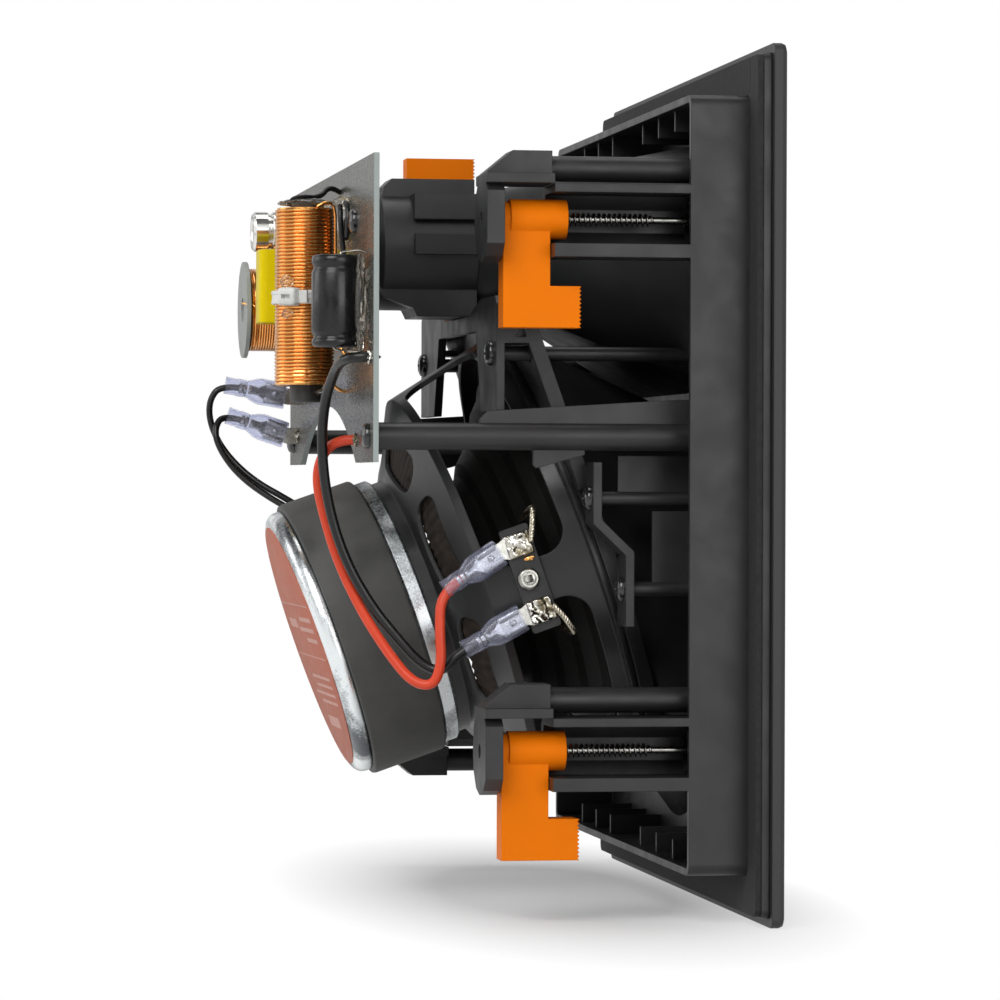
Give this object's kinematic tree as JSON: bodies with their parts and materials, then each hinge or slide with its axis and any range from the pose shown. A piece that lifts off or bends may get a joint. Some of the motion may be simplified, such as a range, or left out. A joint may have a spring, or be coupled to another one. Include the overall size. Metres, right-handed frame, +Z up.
{
  "type": "ceiling speaker",
  "caption": "Square flush-mount ceiling speaker with a tilted woofer, horn tweeter, crossover board and swing-out clamps for fixing in a cut-out.",
  "frame": {"origin": "centre of the seat plane, the rear face of the sealing strip that meets the ceiling board", "axes": "+X out of the front into the room, so -X goes into the ceiling void; +Z up as the speaker stands in a wall, towards the tweeter; +Y across"},
  "size_m": [0.1736, 0.3, 0.3],
  "materials": {
    "black_abs": "fine-textured black moulded plastic",
    "grille_metal": "matt black powder coat",
    "foam": "closed-cell foam strip",
    "orange_nylon": "bright orange moulded nylon",
    "black_steel": "blackened steel",
    "basket_metal": "satin black coated steel",
    "zinc": "bright zinc plate",
    "ferrite": "dark grey sintered ferrite",
    "label_film": "plain salmon-red film",
    "cone_paper": "black ribbed cone",
    "soft_rubber": "butyl rubber",
    "spider_cloth": "resin-treated brown cloth",
    "coil_former": "voice coil former",
    "fibre_board": "black fibre sheet",
    "nickel": "tinned brass",
    "copper_braid": "tinned copper braid",
    "clear_sleeve": "clear soft vinyl",
    "red_pvc": "red insulated lead",
    "black_pvc": "black insulated lead",
    "silk": "coated silk dome",
    "circuit_board": "pale lacquered circuit board",
    "coil_core": "black core",
    "enamelled_copper": "enamelled copper wire",
    "grey_bobbin": "grey bobbin",
    "yellow_film": "yellow wrapped film",
    "can_metal": "bright can",
    "black_wrap": "black shrink wrap",
    "white_nylon": "natural nylon"
  },
  "bodies": {
    "root": {"mounting_frame": "black_abs", "grille": "grille_metal", "sealing_gasket": "foam", "clamp_cap_1": "black_abs", "clamp_cap_2": "black_abs", "clamp_cap_3": "black_abs", "clamp_cap_4": "black_abs", "woofer_cradle": "black_abs", "cradle_screws": "black_steel", "board_screws": "black_steel", "woofer_basket": "basket_metal", "woofer_top_plate": "zinc", "woofer_magnet": "ferrite", "woofer_back_plate": "zinc", "woofer_label": "label_film", "woofer_cone": "cone_paper", "woofer_surround": "soft_rubber", "woofer_dust_cap": "cone_paper", "woofer_spider": "spider_cloth", "voice_coil": "coil_former", "terminal_strip": "fibre_board", "terminal_strip_screw": "nickel", "terminal_tabs": "nickel", "tinsel_leads": "copper_braid", "push_on_receptacles": "nickel", "receptacle_sleeves": "clear_sleeve", "red_lead": "red_pvc", "black_lead": "black_pvc", "input_lead_1": "black_pvc", "input_lead_2": "black_pvc", "input_tabs": "nickel", "input_terminal": "black_abs", "tweeter_housing": "black_abs", "tweeter_horn": "black_abs", "tweeter_dome": "silk", "crossover_board": "circuit_board", "main_coil_core": "coil_core", "main_coil_winding": "enamelled_copper", "second_coil_bobbin": "grey_bobbin", "second_coil_winding": "enamelled_copper", "film_capacitor": "yellow_film", "can_capacitor": "can_metal", "electrolytic_capacitor": "black_wrap", "cable_tie": "white_nylon"},
    "arm_1": {"clamp_arm_1": "orange_nylon"},
    "screw_1": {"clamp_screw_1": "black_steel"},
    "arm_2": {"clamp_arm_2": "orange_nylon"},
    "screw_2": {"clamp_screw_2": "black_steel"},
    "arm_3": {"clamp_arm_3": "orange_nylon"},
    "screw_3": {"clamp_screw_3": "black_steel"},
    "arm_4": {"clamp_arm_4": "orange_nylon"},
    "screw_4": {"clamp_screw_4": "black_steel"}
  },
  "joints": [
    {"name": "arm_1_swing", "type": "hinge", "parent": "root", "child": "arm_1", "pos_m": [-0.076, -0.12, 0.0909], "axis": [1, 0, 0], "range_deg": [-90, 0]},
    {"name": "screw_1_turn", "type": "hinge", "parent": "root", "child": "screw_1", "pos_m": [0, -0.12, 0.0909], "axis": [1, 0, 0], "continuous": true},
    {"name": "arm_2_swing", "type": "hinge", "parent": "root", "child": "arm_2", "pos_m": [-0.076, -0.12, -0.0909], "axis": [1, 0, 0], "range_deg": [-90, 0]},
    {"name": "screw_2_turn", "type": "hinge", "parent": "root", "child": "screw_2", "pos_m": [0, -0.12, -0.0909], "axis": [1, 0, 0], "continuous": true},
    {"name": "arm_3_swing", "type": "hinge", "parent": "root", "child": "arm_3", "pos_m": [-0.076, 0.12, 0.0909], "axis": [1, 0, 0], "range_deg": [-90, 0]},
    {"name": "screw_3_turn", "type": "hinge", "parent": "root", "child": "screw_3", "pos_m": [0, 0.12, 0.0909], "axis": [1, 0, 0], "continuous": true},
    {"name": "arm_4_swing", "type": "hinge", "parent": "root", "child": "arm_4", "pos_m": [-0.076, 0.12, -0.0909], "axis": [1, 0, 0], "range_deg": [-90, 0]},
    {"name": "screw_4_turn", "type": "hinge", "parent": "root", "child": "screw_4", "pos_m": [0, 0.12, -0.0909], "axis": [1, 0, 0], "continuous": true}
  ]
}
